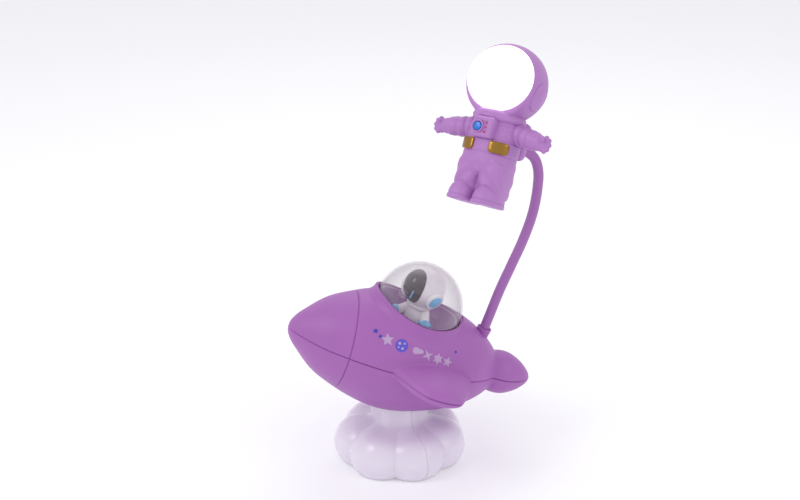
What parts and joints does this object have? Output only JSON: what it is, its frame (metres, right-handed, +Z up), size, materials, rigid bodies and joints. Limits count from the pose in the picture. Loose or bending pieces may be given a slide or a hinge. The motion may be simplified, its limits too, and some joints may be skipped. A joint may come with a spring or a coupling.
{
  "type": "rocket desk lamp",
  "caption": "Child's desk lamp: rocket on a cloud foot, pilot under a clear canopy, and an astronaut lamp head with a lit face on a gooseneck.",
  "frame": {"origin": "centre of the foot pad's lower face, where the lamp stands on the table", "axes": "+Z up; the rocket's nose points to -Y; +X is the rocket's left-hand side as seen from the front"},
  "size_m": [0.148, 0.1775, 0.3062],
  "materials": {
    "purple": "satin",
    "cloud": "translucent gloss",
    "clear": "clear moulded",
    "opal": "opal diffuser",
    "silicone": "satin silicone",
    "pad": "matt silicone",
    "steel": "zinc plated",
    "ballast": "phosphated",
    "pcb": "solder mask",
    "white_toy": "gloss",
    "black_gloss": "high gloss",
    "blue": "painted gloss",
    "gold": "metallic lacquer",
    "lead": "insulation",
    "cell": "heat-shrink sleeve",
    "inner_plastic": "moulded"
  },
  "bodies": {
    "lamp_body": {"foot_pad": "pad", "base_plate": "inner_plastic", "ballast_disc": "ballast", "cloud_shell_front": "cloud", "cloud_shell_rear": "cloud", "base_screws": "steel", "stem_screws": "steel", "glow_board": "pcb", "glow_leds": "opal", "rocket_lower_shell": "purple", "rocket_upper_shell": "purple", "shell_screws": "steel", "canopy_dome": "clear", "cockpit_tub": "purple", "pilot_body": "white_toy", "pilot_helmet": "white_toy", "pilot_visor": "black_gloss", "pilot_ear_discs": "blue", "pilot_gloves": "blue", "battery_cell": "cell", "battery_cradle": "inner_plastic", "main_board": "pcb", "charge_socket": "steel", "rocket_wiring": "lead", "neck_ferrule": "purple", "neck_nut": "steel", "neck_core_0": "steel", "neck_sleeve_0": "silicone"},
    "neck_1": {"neck_core_1": "steel", "neck_sleeve_1": "silicone"},
    "neck_2": {"neck_core_2": "steel", "neck_sleeve_2": "silicone"},
    "neck_3": {"neck_core_3": "steel", "neck_sleeve_3": "silicone"},
    "neck_4": {"neck_core_4": "steel", "neck_sleeve_4": "silicone"},
    "neck_5": {"neck_core_5": "steel", "neck_sleeve_5": "silicone"},
    "head": {"neck_core_6": "steel", "neck_sleeve_6": "silicone", "neck_plug": "purple", "suit_front_shell": "purple", "suit_rear_shell": "purple", "suit_screws": "steel", "left_arm": "purple", "right_arm": "purple", "backpack": "purple", "helmet_shell": "purple", "face_lens": "opal", "light_board": "pcb", "light_chips": "opal", "reflector_ring": "inner_plastic", "chest_pack": "purple", "chest_switch": "inner_plastic", "belt_pouches": "gold", "head_wiring": "lead"},
    "chest_button": {"chest_button": "blue"}
  },
  "joints": [
    {"name": "neck_pitch_1", "type": "hinge", "parent": "lamp_body", "child": "neck_1", "pos_m": [0, 0.0643, 0.1062], "axis": [1, 0, 0], "range_deg": [-16, 14]},
    {"name": "neck_sway_2", "type": "hinge", "parent": "neck_1", "child": "neck_2", "pos_m": [0.0003, 0.0712, 0.1254], "axis": [0, 0.9326, -0.3608], "range_deg": [-16, 16]},
    {"name": "neck_pitch_3", "type": "hinge", "parent": "neck_2", "child": "neck_3", "pos_m": [0.0007, 0.079, 0.1442], "axis": [1, 0, 0], "range_deg": [-18, 16]},
    {"name": "neck_sway_4", "type": "hinge", "parent": "neck_3", "child": "neck_4", "pos_m": [0.0014, 0.0866, 0.1632], "axis": [0, 0.9447, -0.3279], "range_deg": [-18, 18]},
    {"name": "neck_pitch_5", "type": "hinge", "parent": "neck_4", "child": "neck_5", "pos_m": [0.0023, 0.0924, 0.1828], "axis": [1, 0, 0], "range_deg": [-20, 18]},
    {"name": "neck_sway_6", "type": "hinge", "parent": "neck_5", "child": "head", "pos_m": [0.0033, 0.0949, 0.203], "axis": [0, 0.9977, -0.068], "range_deg": [-20, 20]},
    {"name": "chest_button_press", "type": "slide", "parent": "head", "child": "chest_button", "axis": [-0.684, 0.5946, -0.4226], "range_m": [0, 0.0008], "stiffness_N_per_m": 1500, "springref_m": -0.0004}
  ]
}
